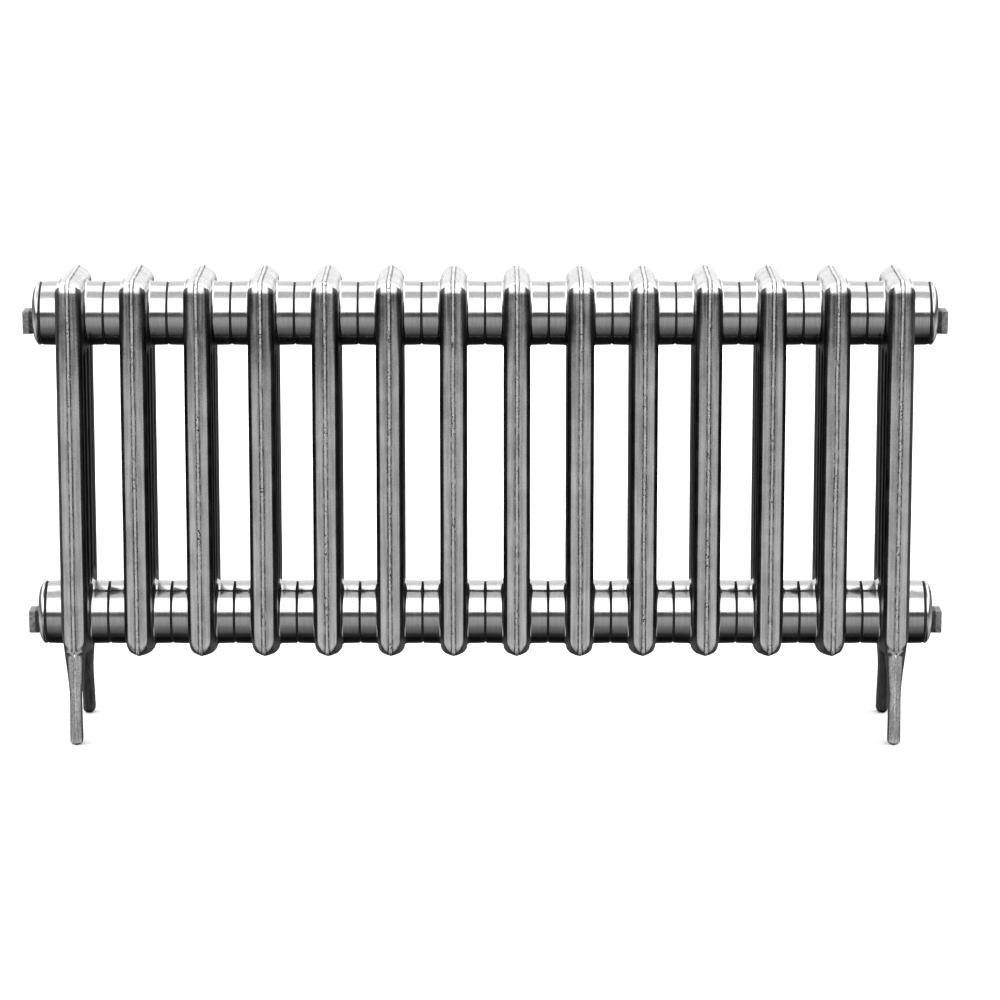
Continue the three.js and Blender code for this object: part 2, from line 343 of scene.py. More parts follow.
# Height, half width, front edge and back edge of the front foot.
FOOT = [
    (0.0, 6.2, -74.5, -55.5),
    (14.0, 6.1, -73.2, -54.0),
    (30.0, 6.0, -71.5, -52.0),
    (50.0, 5.8, -68.0, -48.5),
    (66.0, 7.4, -65.0, -45.0),
    (82.0, 9.4, -63.2, -42.5),
    (104.0, 12.0, -61.4, -40.6),
]
FOOT_LEAN = 1.5
FOOT_ROWS = 40
FOOT_EASING = 9.0
FOOT_EASING_SAMPLES = 9
FOOT_SOLE_ROUND = 4.5
FOOT_SOLE_ROWS = 6
FOOT_ROWS_START = 1.6 * FOOT_SOLE_ROUND


def foot_at(height):
    table = np.array(FOOT)
    return [np.interp(height, table[:, 0], table[:, k]) for k in (1, 2, 3)]


def smooth_foot_at(height):
    """The foot's width and edges at a height, eased over the corners of its table."""
    shares = np.linspace(-1, 1, FOOT_EASING_SAMPLES)
    return np.mean([foot_at(height + FOOT_EASING * share) for share in shares], axis=0)


def foot_section(half, front, back, shrink):
    """A foot's section seen from above: a low bead, two facets, rounded flanks and back."""
    half, front, back = half - shrink, front + shrink, back - shrink
    facet = 0.34 * half + 1.1
    depth = back - front
    right = [
        (0.0, front - 0.25),
        (0.55, front - 0.1),
        (0.9, front + 0.25),
        (0.9 + 0.5 * (half - 1.9), front + 0.4 + 0.42 * facet),
        (half - 1.0, front + 0.3 + 0.86 * facet),
        (half - 0.35, front + facet + 0.75),
        (half, front + facet + 2.2),
        (half, front + 0.55 * depth),
        (half * 0.96, back - 0.26 * depth),
        (half * 0.80, back - 0.12 * depth),
        (half * 0.50, back - 0.03 * depth),
        (0.0, back),
    ]
    return [*right, *[(-x, y) for x, y in right[-2:0:-1]]]


def foot_solid(side):
    """The front foot for side -1 and the back foot for side 1, leaning towards +X."""
    solid = Solid()
    rings = []
    turns = np.linspace(0, math.pi / 2, FOOT_SOLE_ROWS)
    sole = [FOOT_SOLE_ROUND * (1 - math.cos(turn)) for turn in turns]
    for height in [*sole, *np.linspace(FOOT_ROWS_START, FOOT[-1][0], FOOT_ROWS)]:
        lift = max(0.0, 1 - height / FOOT_SOLE_ROUND)
        shrink = FOOT_SOLE_ROUND * (1 - math.sqrt(max(0.0, 1 - lift * lift)))
        half, front, back = smooth_foot_at(height)
        flat = foot_section(half, front, back, shrink)
        lean = FOOT_LEAN * (1 - height / FOOT[-1][0])
        rings.append(solid.ring((lean - side * x, -side * y, height) for x, y in flat))
    solid.strips(rings)
    solid.faces.append(tuple(reversed(rings[0])))
    solid.faces.append(tuple(rings[-1]))
    return solid


# ---- Unevenness of the castings ----

# Multipliers that scramble a cell's place into its value, and the largest value kept.
CELL_MIX = (73856093, 19349663, 83492791)
SEED_MIX = 2654435761
FIRST_MIX = 2246822519
SECOND_MIX = 3266489917
WORD_MASK = 0xFFFFFFFF
VALUE_MASK = 0xFFFF


def lattice_noise(points, size, seed):
    """Smooth noise from -1 to 1 at points in millimetres, with features of a given size."""
    cells = points / size
    base = np.floor(cells).astype(np.int64)
    part = cells - base
    part = part * part * (3 - 2 * part)
    total = np.zeros(len(points))
    for corner in range(8):
        step = np.array([corner & 1, corner >> 1 & 1, corner >> 2 & 1])
        along, across, up = ((base + step) * CELL_MIX).T
        mixed = ((along ^ across ^ up) + seed * SEED_MIX) & WORD_MASK
        mixed = ((mixed ^ (mixed >> 15)) * FIRST_MIX) & WORD_MASK
        mixed = ((mixed ^ (mixed >> 13)) * SECOND_MIX) & WORD_MASK
        value = ((mixed ^ (mixed >> 16)) & VALUE_MASK) / (VALUE_MASK / 2) - 1
        weight = np.prod(np.where(step == 1, part, 1 - part), axis=1)
        total += value * weight
    return total


# Heights and sizes of the waves, the ripples and the bead's wandering, and what is left of
# the waves on the hubs.
WAVE_HEIGHT = 0.13
WAVE_SIZE = 34.0
RIPPLE_HEIGHT = 0.035
RIPPLE_SIZE = 7.0
BEAD_WANDER = 0.3
BEAD_WANDER_SIZE = 40.0
HUB_EVENNESS = 0.2


def smooth_step(values, low, high):
    share = np.clip((values - low) / (high - low), 0.0, 1.0)
    return share * share * (3 - 2 * share)


def mesh_points(mesh):
    flat = np.empty(len(mesh.vertices) * 3, np.float32)
    mesh.vertices.foreach_get("co", flat)
    return flat.reshape(-1, 3).astype(float) / MM


def mesh_normals(mesh):
    flat = np.empty(len(mesh.vertices) * 3, np.float32)
    mesh.vertex_normals.foreach_get("vector", flat)
    return flat.reshape(-1, 3).astype(float)


def depth_under_ridge(points):
    """How far points lie inside the ridge's outline, and the way in, seen from the side."""
    outline = np.array(side_outline(0.0))
    start, step = outline, np.roll(outline, -1, axis=0) - outline
    length = (step**2).sum(axis=1)
    best = np.full(len(points), np.inf)
    inward = np.zeros((len(points), 2))
    flat = points[:, 1:]
    for a, d, size in zip(start, step, length):
        share = np.clip(((flat - a) @ d) / size, 0, 1)
        away = flat - (a + share[:, None] * d)
        distance = np.hypot(away[:, 0], away[:, 1])
        nearer = distance < best
        best[nearer] = distance[nearer]
        left = np.array([-d[1], d[0]]) / math.sqrt(size)
        inward[nearer] = left
    return best, inward


def foot_share(points):
    """How far points lie sideways from the middle of a foot, as a share of its half width."""
    table = np.array(FOOT)
    middle = FOOT_LEAN * (1 - points[:, 2] / FOOT[-1][0])
    return np.abs(points[:, 0] - middle) / np.interp(points[:, 2], table[:, 0], table[:, 1])


# Where the zones of a casting fade, in mm: in depth under the ridge, across from its middle
# plane, in height or, for the foot, outwards from the middle of the casting.
RIM_DEPTH = (2.4, 3.2)
BEAD_ACROSS = (0.9, 1.25)
GROOVE_NEAR = (1.15, 1.5)
GROOVE_FAR = (2.1, 2.9)
GROUND_ACROSS = (8.5, 10.5)
GROUND_DEPTH = (4.9, 6.0)
TOP_HEIGHT = (330.0, 430.0)
TOP_NARROWING = 0.8
# Painted shade under the top of the columns: how much polish it takes off, and across where.
TOP_PAINTED_SHADE = 0.75
TOP_SHADE_ACROSS = (4.5, 9.5)
# How deep under the ridge the painted light reaches on faces turned up.
TOP_LIGHT_DEPTH = (13.5, 16.0)
HUB_ACROSS = (BODY_HALF_WIDTH + 0.05, BODY_HALF_WIDTH + 0.7)
HUB_EDGE_ACROSS = (CASTING_HALF - HUB_CHAMFER, CASTING_HALF - 0.7 * HUB_CHAMFER)
FOOT_OUTWARD = (57.0, 63.0)
FOOT_NEAREST = 38.0
RIDGE_ZONE = 1.0
BORE_MARGIN = 0.5
# The same as shares: of the way in that points up or down, of the foot's half width and of
# the hub's radius.
# Faces turned down get painted shade and faces turned up get painted light; the undersides of the
# hubs get painted shade.
UNDERSIDE_SHADE_FACING = (0.80, 0.94)
TOP_LIGHT_FACING = (0.6, 0.85)
FOOT_SIDE = (0.72, 0.98)
HUB_UNDERSIDE_SHADE = (-0.72, -0.54)


def rim_zones(points, depth):
    """Weights of the bead and of the grooves beside it."""
    across = np.abs(points[:, 0])
    rim = 1 - smooth_step(depth, *RIM_DEPTH)
    bead = rim * (1 - smooth_step(across, *BEAD_ACROSS))
    groove = rim * smooth_step(across, *GROOVE_NEAR) * (1 - smooth_step(across, *GROOVE_FAR))
    return bead, groove


def polish_and_painted_light_on_body(points, depth, inward):
    """Weight of the ground surface on the columns: less towards the top, partly as painted shade;
    none on faces turned down, as painted shade; and more on faces turned up near the edge, as painted
    light.
    """
    across = np.abs(points[:, 0])
    near_top = smooth_step(points[:, 2], *TOP_HEIGHT)
    polish_with_painted_light_and_shade = 1 - smooth_step(across - TOP_NARROWING * near_top, *GROUND_ACROSS)
    # Painted shade: less polish on the outer facets under the top.
    polish_with_painted_light_and_shade *= 1 - TOP_PAINTED_SHADE * near_top * smooth_step(across, *TOP_SHADE_ACROSS)
    # Painted shade on faces turned down: they keep the dark skin.
    clear_of_underside_shade = 1 - smooth_step(inward[:, 1], *UNDERSIDE_SHADE_FACING)
    polish_with_painted_light_and_shade *= (1 - smooth_step(depth, *GROUND_DEPTH)) * clear_of_underside_shade
    # Painted light on faces turned up near the edge: they get the polish.
    painted_top_light = smooth_step(-inward[:, 1], *TOP_LIGHT_FACING)
    return np.maximum(polish_with_painted_light_and_shade, painted_top_light * (1 - smooth_step(depth, *TOP_LIGHT_DEPTH)))


def surface_zones(points):
    """Weights of the bead, the grooves beside it and the ground and polished surfaces, with painted
    light and shade in the polish and painted shade under the hubs.
    """
    depth, inward = depth_under_ridge(points)
    bead, groove = rim_zones(points, depth)
    polish_with_painted_light_and_shade = polish_and_painted_light_on_body(points, depth, inward)
    across = np.abs(points[:, 0])
    outward = np.abs(points[:, 1])
    height = points[:, 2]

    foot = (height < LOWER_HUB - LOW_CORNER_BOTTOM) & (outward > FOOT_NEAREST)
    outer_foot = smooth_step(outward, *FOOT_OUTWARD)
    outer_foot *= 1 - smooth_step(foot_share(points), *FOOT_SIDE)
    polish_with_painted_light_and_shade = np.where(foot, outer_foot, polish_with_painted_light_and_shade)
    bead = np.where(foot, 0.0, bead)
    groove = np.where(foot, 0.0, groove)

    nearest_hub = np.where(height > (UPPER_HUB + LOWER_HUB) / 2, UPPER_HUB, LOWER_HUB)
    hub_distance = np.hypot(points[:, 1], height - nearest_hub)
    on_hub = smooth_step(across, *HUB_ACROSS)
    # Painted shade: the undersides of the hubs keep the dark skin.
    hub_underside_shade = 1 - smooth_step((height - nearest_hub) / HUB_RADIUS, *HUB_UNDERSIDE_SHADE)
    polish_with_painted_light_and_shade = polish_with_painted_light_and_shade * (1 - on_hub) + on_hub * (1 - hub_underside_shade)
    polish_with_painted_light_and_shade *= 1 - smooth_step(across, *HUB_EDGE_ACROSS)
    inside_bore = (hub_distance < BORE_RADIUS + BORE_MARGIN) & (across > RIDGE_ZONE)
    polish_with_painted_light_and_shade = np.where(inside_bore, 0.0, polish_with_painted_light_and_shade)
    return bead, groove, polish_with_painted_light_and_shade, on_hub, depth, inward


# Wear of the bead: its mean strength, its patches and spots, and how it ends at the bottom.
BEAD_STRENGTH = 0.62
BEAD_PATCH_SHARE = 0.75
BEAD_PATCH_SIZE = 95.0
BEAD_SPOT_SHARE = 0.3
BEAD_SPOT_SIZE = 13.0
BEAD_WEAR = 1.25
BEAD_END_HEIGHT = (LOWER_HUB - 33, LOWER_HUB - 20)
BEAD_LOWEST = 60.0
WANDER_DEPTH = 2.5
HUB_FACE_STILL = 1.2
SOLE_STILL = 6.0
SEED_STEP = 11
SEED_START = 5


def uneven_casting(points, normals, zones, index):
    """A casting's points with its own worn bead and slight waves."""
    *_, on_hub, depth, inward = zones
    seed = SEED_STEP * index + SEED_START
    strength = BEAD_STRENGTH + BEAD_PATCH_SHARE * lattice_noise(points, BEAD_PATCH_SIZE, seed)
    strength += BEAD_SPOT_SHARE * lattice_noise(points, BEAD_SPOT_SIZE, seed + 1)
    strength = np.clip(strength, 0.0, 1.0)
    strength *= smooth_step(points[:, 2], *BEAD_END_HEIGHT)
    across = np.abs(points[:, 0])
    on_bead = (across < BEAD_HALF_WIDTH) & (depth < BEAD_HEIGHT) & (points[:, 2] > BEAD_LOWEST)
    worn = BEAD_WEAR * (1 - strength) * (1 - depth / BEAD_HEIGHT)
    placed = points.copy()
    placed[:, 1:] += inward * np.where(on_bead, worn, 0.0)[:, None]
    near_bead = (across < GROOVE_HALF_WIDTH) & (depth < WANDER_DEPTH)
    wander = BEAD_WANDER * lattice_noise(placed * [0, 1, 1], BEAD_WANDER_SIZE, seed + 2)
    placed[:, 0] += np.where(near_bead, wander, 0.0)
    wave = WAVE_HEIGHT * lattice_noise(placed, WAVE_SIZE, seed + 3)
    wave += RIPPLE_HEIGHT * lattice_noise(placed, RIPPLE_SIZE, seed + 4)
    wave *= 1 - (1 - HUB_EVENNESS) * on_hub
    still = (across > CASTING_HALF - HUB_FACE_STILL) | (points[:, 2] < SOLE_STILL)
    return placed + normals * np.where(still, 0.0, wave)[:, None]


def remove(made):
    mesh = made.data
    bpy.data.objects.remove(made)
    bpy.data.meshes.remove(mesh)


def combine(base, others, operation):
    """Joins or cuts base with the other objects, which are removed."""
    for other in others:
        step = base.modifiers.new(other.name, "BOOLEAN")
        step.operation = operation
        step.solver = "EXACT"
        step.object = other
    bpy.context.view_layer.update()
    graph = bpy.context.evaluated_depsgraph_get()
    result = bpy.data.meshes.new_from_object(base.evaluated_get(graph))
    base.modifiers.clear()
    old = base.data
    base.data = result
    bpy.data.meshes.remove(old)
    for other in others:
        remove(other)


def solid_object(name, solid, material):
    return new_object(name, solid.array(), solid.faces, material)


def casting_pattern(legged, material):
    """A whole casting centred on X = 0, from which every casting of its kind is copied."""
    pattern = solid_object("pattern", plate_solid(), material)
    added = [solid_object("hub", hub_solid(hub), material) for hub in (LOWER_HUB, UPPER_HUB)]
    if legged:
        added += [solid_object("foot", foot_solid(side), material) for side in (-1, 1)]
    combine(pattern, added, "UNION")
    bores = [solid_object("bore", bore_solid(hub), material) for hub in (LOWER_HUB, UPPER_HUB)]
    combine(pattern, bores, "DIFFERENCE")
    return pattern


def add_casting(pattern, shape, weights, node):
    """A casting with a pattern's faces, its own points in mm and the weights of its zones."""
    mesh = pattern.data.copy()
    mesh.name = node.replace("section", "casting")
    mesh.vertices.foreach_set("co", (shape * MM).ravel())
    for label, values in zip(("bead", "groove", "polish_with_painted_light_and_shade"), weights):
        layer = mesh.attributes.new(label, "FLOAT", "POINT")
        layer.data.foreach_set("value", values.astype(np.float32))
    mesh.update()
    shade(mesh)
    casting = bpy.data.objects.new(mesh.name, mesh)
    bpy.context.scene.collection.objects.link(casting)
    declare(casting, "cast_iron", node)


def add_castings(material):
    patterns = {legged: casting_pattern(legged, material) for legged in (False, True)}
    surfaces = {}
    for legged, pattern in patterns.items():
        points = mesh_points(pattern.data)
        surfaces[legged] = (points, mesh_normals(pattern.data), surface_zones(points))
    for index, (node, x) in enumerate(zip(SECTION_NODES, SECTION_X)):
        legged = index in (0, SECTION_COUNT - 1)
        points, normals, zones = surfaces[legged]
        shape = uneven_casting(points, normals, zones, index)
        if index == SECTION_COUNT - 1:
            shape = shape * [-1, -1, 1]
        add_casting(patterns[legged], shape + [x, 0, 0], zones, node)
    for pattern in patterns.values():
        remove(pattern)


# ---- Threads and fittings ----

PIPE_THREAD_PITCH = 2.309
SMALL_THREAD_PITCH = 1.814
THREAD_CREST = 20.9
THREAD_DEPTH = 1.3
NIPPLE_BORE = 16.5
NIPPLE_HALF = 17.0
NIPPLE_THREAD_START = 0.6
LUG_HEIGHT = 3.2
LUG_HALF_LENGTH = 8.0
LUG_END = 9.0
LUG_NARROWING = 1.6
LUG_START = 1.15
LUG_FADE = 0.3
THREAD_SIDES = 48
ROWS_PER_PITCH = 5
RING_BORE = 22.0
RING_EDGE_SHARE = 0.3
JOINT_RING_RADIUS = 30.2
JOINT_RING_SLACK = 0.06
JOINT_RING_ROUNDING = 0.2
WASHER_RADIUS = 30.7
WASHER_ROUNDING = 0.25


def thread_rings(solid, start, end, crest, depth, pitch, hand=1):
    """Rings of a screw thread along X from start to end, fading in at both ends."""
    rows = max(4, int(abs(end - start) / pitch * ROWS_PER_PITCH))
    angles = 2 * math.pi * np.arange(THREAD_SIDES) / THREAD_SIDES
    rings = []
    for x in np.linspace(start, end, rows + 1):
        phase = (x / pitch - hand * angles / (2 * math.pi)) % 1.0
        fade = min(1.0, abs(x - start) / pitch, abs(end - x) / pitch)
        valley = np.abs(2 * phase - 1)
        radius = crest - depth * np.where(fade < 1, 1 - fade * (1 - valley), valley)
        ring = zip(radius * np.cos(angles), radius * np.sin(angles))
        rings.append(solid.section_ring(x, ring))
    return rings


def nipple_solid():
    """Nipple centred on X = 0: right hand thread on one half, left hand on the other, and
    two lugs inside for the assembly key."""
    solid = Solid()
    thread = (THREAD_CREST, THREAD_DEPTH, PIPE_THREAD_PITCH)
    left = thread_rings(solid, -NIPPLE_HALF, -NIPPLE_THREAD_START, *thread, -1)
    right = thread_rings(solid, NIPPLE_THREAD_START, NIPPLE_HALF, *thread, 1)
    angles = 2 * math.pi * np.arange(THREAD_SIDES) / THREAD_SIDES
    across = LUG_NARROWING * np.abs(np.cos(angles)) - LUG_START
    lug = LUG_HEIGHT * np.clip(across, 0, LUG_FADE) / LUG_FADE
    half = [(NIPPLE_HALF, 0), (LUG_END, 0), (LUG_HALF_LENGTH, 1)]
    inner = []
    for x, share in [*half, *[(-x, share) for x, share in reversed(half)]]:
        radius = NIPPLE_BORE - share * lug
        ring = zip(radius * np.cos(angles), radius * np.sin(angles))
        inner.append(solid.section_ring(x, ring))
    rings = [*left, *right, *inner]
    solid.strips(rings)
    solid.strip(rings[-1], rings[0])
    return solid


def ring_solid(outer, thickness, rounding):
    """A flat ring centred on X = 0 with rounded edges."""
    solid = Solid()
    half = thickness / 2
    edge = RING_EDGE_SHARE * rounding
    left = [
        (-half, RING_BORE),
        (-half, outer - rounding),
        (-half + edge, outer - edge),
        (-half + rounding, outer),
    ]
    profile = [*left, *[(-x, radius) for x, radius in reversed(left)]]
    rings = [solid.section_ring(x, circle(0, 0, radius, HUB_SIDES)) for x, radius in profile]
    solid.strips(rings)
    solid.strip(rings[-1], rings[0])
    return solid


# The bush's outside from its seat to its face: distance out and radius.
BUSH_OUTSIDE = [
    (0.0, 30.9),
    (0.25, 31.25),
    (0.6, 31.4),
    (1.8, 31.4),
    (2.3, 31.15),
    (3.2, 30.1),
    (4.2, 28.7),
    (5.2, 26.8),
    (6.0, 24.9),
    (6.5, 23.3),
    (6.75, 22.2),
    (6.8, 21.2),
]
BUSH_SHANK_LENGTH = 18.0
BUSH_SHANK_GROOVE = 19.3
BUSH_THREAD_START = 1.5
BUSH_GROOVE_END = 1.2
TAPPING_DROP = 8.0
TAPPING_RADIUS = 10.6
TAPPING_CHAMFER = 1.0


def bush_solid():
    """Eccentric bush with its seat at X = 0, standing out towards -X."""
    solid = Solid()
    thread_size = (THREAD_CREST, THREAD_DEPTH, PIPE_THREAD_PITCH)
    thread = thread_rings(solid, BUSH_SHANK_LENGTH, BUSH_THREAD_START, *thread_size)
    groove_circle = circle(0, 0, BUSH_SHANK_GROOVE, THREAD_SIDES)
    groove = [solid.section_ring(x, groove_circle) for x in (BUSH_GROOVE_END, 0.0)]
    solid.strips([*thread, *groove])
    outside = [
        solid.section_ring(-out, circle(0, 0, radius, HUB_SIDES)) for out, radius in BUSH_OUTSIDE
    ]
    solid.strips(outside)
    tapping = [
        solid.section_ring(x, circle(0, -TAPPING_DROP, radius, THREAD_SIDES))
        for x, radius in (
            (-BUSH_OUTSIDE[-1][0], TAPPING_RADIUS + TAPPING_CHAMFER),
            (-BUSH_OUTSIDE[-1][0] + TAPPING_CHAMFER, TAPPING_RADIUS),
            (BUSH_SHANK_LENGTH, TAPPING_RADIUS),
        )
    ]
    solid.strips(tapping)
    solid.faces = [face[::-1] for face in solid.faces]
    solid.fill(outside[0], [groove[-1]], 1)
    solid.fill(outside[-1], [tapping[0]], -1)
    solid.fill(thread[0], [tapping[-1]], 1)
    return solid


# Plug from the bush to the end of its head: distance out, half size and corner radius.
COLLAR_SHADE_REACH = 4.4
PLUG_OUTSIDE = [
    (0.0, 9.6, 9.6),
    (0.2, 10.8, 3.0),
    (0.5, 11.2, 1.4),
    (1.0, 11.3, 1.0),
    (COLLAR_SHADE_REACH, 11.3, 1.0),
    (6.6, 11.3, 0.9),
    (9.6, 11.3, 0.9),
    (10.1, 11.2, 1.0),
    (10.4, 10.9, 1.1),
    (10.6, 10.4, 1.2),
]
PLUG_SHANK_CREST = 10.3
PLUG_SHANK_DEPTH = 1.0
PLUG_SHANK_LENGTH = 15.0
PLUG_THREAD_START = 0.6
SQUARE_CORNER_STEPS = 12


def rounded_square(half, corner):
    flat = half - corner
    points = []
    for turn, (sy, sz) in enumerate(((1, 1), (-1, 1), (-1, -1), (1, -1))):
        start = turn * math.pi / 2
        points += arc(
            sy * flat, sz * flat, corner, start, start + math.pi / 2, SQUARE_CORNER_STEPS
        )
    return points


def plug_solid():
    """Square-headed plug: its shank runs to +X from 0 and its head stands towards -X."""
    solid = Solid()
    thread_size = (PLUG_SHANK_CREST, PLUG_SHANK_DEPTH, SMALL_THREAD_PITCH)
    thread = thread_rings(solid, PLUG_SHANK_LENGTH, PLUG_THREAD_START, *thread_size)
    outside = [
        solid.section_ring(-out, rounded_square(half, corner)) for out, half, corner in PLUG_OUTSIDE
    ]
    solid.strips([*thread, *outside])
    solid.faces = [face[::-1] for face in solid.faces]
    solid.faces.append(tuple(thread[0]))
    solid.faces.append(tuple(reversed(outside[-1])))
    return solid


def add_piece(name, solid, spot, material, slot, *nodes):
    """A declared piece at (x, z, mirrored), turned half round Z where mirrored."""
    x, z, mirrored = spot
    points = solid.array()
    if mirrored:
        points = points * [-1, -1, 1]
    declare(new_object(name, points + [x, 0, z], solid.faces, material), slot, *nodes)


def add_joints(nipple_material, ring_material):
    nipple = nipple_solid()
    ring = ring_solid(JOINT_RING_RADIUS, JOINT_GAP - JOINT_RING_SLACK, JOINT_RING_ROUNDING)
    for i in range(SECTION_COUNT - 1):
        x = (SECTION_X[i] + SECTION_X[i + 1]) / 2
        for level, z in (("top", UPPER_HUB), ("bottom", LOWER_HUB)):
            label = f"{level}_{i + 1:02d}"
            node = f"nipple_{label}"
            spot = (x, z, False)
            add_piece(f"threaded_{node}", nipple, spot, nipple_material, "nipple_steel", node)
            add_piece(f"joint_ring_{label}", ring, spot, ring_material, "washer_rubber")


def shank_start(node, outward, shank_length):
    """X where a fitting's shank ends and the part that stands out of it starts."""
    low, high = box_mm(node)
    return high[0] - shank_length if outward < 0 else low[0] + shank_length


def add_end_fittings(bush_material, plug_material, ring_material):
    bush = bush_solid()
    plug = plug_solid()
    for level, hub in (("top", UPPER_HUB), ("bottom", LOWER_HUB)):
        for end, outward in (("left", -1), ("right", 1)):
            label = f"{level}_{end}"
            mirrored = outward > 0
            node = f"washer_{label}"
            low, high = box_mm(node)
            washer = ring_solid(WASHER_RADIUS, high[0] - low[0], WASHER_ROUNDING)
            spot = ((low[0] + high[0]) / 2, hub, mirrored)
            add_piece(f"jointing_ring_{label}", washer, spot, ring_material, "washer_rubber", node)
            node = f"bush_{label}"
            spot = (shank_start(node, outward, BUSH_SHANK_LENGTH), hub, mirrored)
            add_piece(f"reducing_{node}", bush, spot, bush_material, "fitting_steel", node)
            node = f"plug_{label}"
            neck = shank_start(node, outward, PLUG_SHANK_LENGTH)
            spot = (neck, hub - TAPPING_DROP, mirrored)
            add_piece(f"square_{node}", plug, spot, plug_material, "fitting_steel", node)


# ---- Materials ----

# Stretches of the noise: long upright streaks, short ones, and rings round the hubs' axis.
UPRIGHT = (1, 1, 0.03)
LOW_PITS = (1, 1, 0.6)
HUB_RINGS = (1, 0.03, 0.03)
LATHE_RINGS = (1, 0.02, 0.02)

# Heights in metres: where painted shade darkens the columns under the top, and where the feet begin.
TOP_SHADE_START = (0.33, 0.43)
TOP_SHADE_END = (0.443, 0.451)
FOOT_TOP = (0.076, 0.090)


def grey(level):
    return (level, level, level)


class NodeTree:
    """A node tree, with short ways to add and join nodes."""

    def __init__(self, tree):
        self.tree = tree

    def add(self, kind, **settings):
        node = self.tree.nodes.new(kind)
        for key, value in settings.items():
            setattr(node, key, value)
        return node

    def join(self, source, target):
        self.tree.links.new(source, target)

    def feed(self, socket, value):
        if isinstance(value, bpy.types.NodeSocket):
            self.join(value, socket)
        else:
            socket.default_value = value

    def math(self, operation, *values, clamp=False):
        node = self.add("ShaderNodeMath", operation=operation, use_clamp=clamp)
        for socket, value in zip(node.inputs, values):
            self.feed(socket, value)
        return node.outputs["Value"]

    def plus(self, first, second):
        return self.math("ADD", first, second)

    def minus(self, first, second):
        return self.math("SUBTRACT", first, second)

    def times(self, first, second):
        return self.math("MULTIPLY", first, second)

    def invert(self, value):
        return self.minus(1.0, value)

    def ramp(self, value, low, high, to_low=0.0, to_high=1.0):
        """Smooth step of a value between low and high."""
        node = self.add("ShaderNodeMapRange", interpolation_type="SMOOTHSTEP")
        for socket, number in zip(node.inputs, (value, low, high, to_low, to_high)):
            self.feed(socket, number)
        return node.outputs["Result"]

    def axes(self, vector):
        """The X, Y and Z of a vector."""
        split = self.add("ShaderNodeSeparateXYZ")
        self.join(vector, split.inputs["Vector"])
        return [split.outputs[axis] for axis in "XYZ"]


class Nodes(NodeTree):
    """A material's nodes, placed by object coordinates."""

    def __init__(self, name):
        self.material = bpy.data.materials.new(name)
        self.material.use_nodes = True
        super().__init__(self.material.node_tree)
        self.shader = self.tree.nodes["Principled BSDF"]
        self.place = self.add("ShaderNodeTexCoord").outputs["Object"]

    def surface(self, color, rough, normal):
        self.join(color, self.shader.inputs["Base Color"])
        self.join(rough, self.shader.inputs["Roughness"])
        self.join(normal, self.shader.inputs["Normal"])
        return self.material

    def noise(self, size_mm, detail=3.0, rough=0.55, stretch=(1, 1, 1)):
        """Noise with features of a size, on object coordinates scaled by three factors."""
        mapping = self.add("ShaderNodeMapping")
        self.join(self.place, mapping.inputs["Vector"])
        mapping.inputs["Scale"].default_value = stretch
        node = self.add("ShaderNodeTexNoise")
        self.join(mapping.outputs["Vector"], node.inputs["Vector"])
        node.inputs["Scale"].default_value = 1 / (size_mm * MM)
        node.inputs["Detail"].default_value = detail
        node.inputs["Roughness"].default_value = rough
        return node.outputs["Fac"]

    def mix_color(self, share, first, second):
        node = self.add("ShaderNodeMix", data_type="RGBA")
        self.feed(node.inputs["Factor"], share)
        for name, color in (("A", first), ("B", second)):
            socket = [s for s in node.inputs if s.name == name and s.type == "RGBA"][0]
            self.feed(socket, color if isinstance(color, bpy.types.NodeSocket) else (*color, 1))
        return [s for s in node.outputs if s.type == "RGBA"][0]

    def mix_value(self, share, first, second):
        node = self.add("ShaderNodeMix", data_type="FLOAT")
        for socket, value in zip(node.inputs[:1] + node.inputs[2:4], (share, first, second)):
            self.feed(socket, value)
        return node.outputs[0]

    def attribute(self, name):
        return self.add("ShaderNodeAttribute", attribute_name=name).outputs["Fac"]

    def bump(self, height, depth_mm, normal=None):
        node = self.add("ShaderNodeBump")
        node.inputs["Strength"].default_value = 1.0
        node.inputs["Distance"].default_value = depth_mm * MM
        self.join(height, node.inputs["Height"])
        if normal is not None:
            self.join(normal, node.inputs["Normal"])
        return node.outputs["Normal"]


def offset_from_ridge(nodes, along):
    """Distance in metres along X from the middle of the nearest casting."""
    start = (SECTION_X[0] - SECTION_PITCH / 2) * MM
    along = nodes.math("MODULO", nodes.minus(along, start), SECTION_PITCH * MM)
    return nodes.math("ABSOLUTE", nodes.minus(along, SECTION_PITCH / 2 * MM))


def iron_tone(nodes, cloud, speck):
    """Light and dark on the iron: clouds, upright streaks and specks."""
    streak = nodes.noise(2.6, 3, 0.6, UPRIGHT)
    tone = nodes.times(nodes.ramp(cloud, 0.35, 0.65), 0.35)
    tone = nodes.plus(tone, nodes.times(nodes.ramp(streak, 0.38, 0.62), 0.55))
    return nodes.plus(tone, nodes.times(nodes.ramp(speck, 0.3, 0.7), 0.10))


def ground_iron_with_top_shade(nodes, tone, hub, height):
    """Color of the ground iron: painted shade makes it darker under the top, and it is evener on the
    hubs.
    """
    # Painted shade: the ground metal is darker under the top of the columns, back to full at the top
    # itself and not on the hubs.
    painted_top_shade = nodes.times(nodes.ramp(height, *TOP_SHADE_START), nodes.ramp(height, *TOP_SHADE_END, 1.0, 0.0))
    painted_top_shade = nodes.times(painted_top_shade, nodes.invert(hub))
    metal = nodes.mix_color(tone, grey(0.42), grey(0.74))
    top_shade_metal = nodes.mix_color(tone, grey(0.09), grey(0.52))
    metal = nodes.mix_color(painted_top_shade, metal, top_shade_metal)
    hub_metal = nodes.mix_color(tone, grey(0.47), grey(0.56))
    return nodes.mix_color(hub, metal, hub_metal)


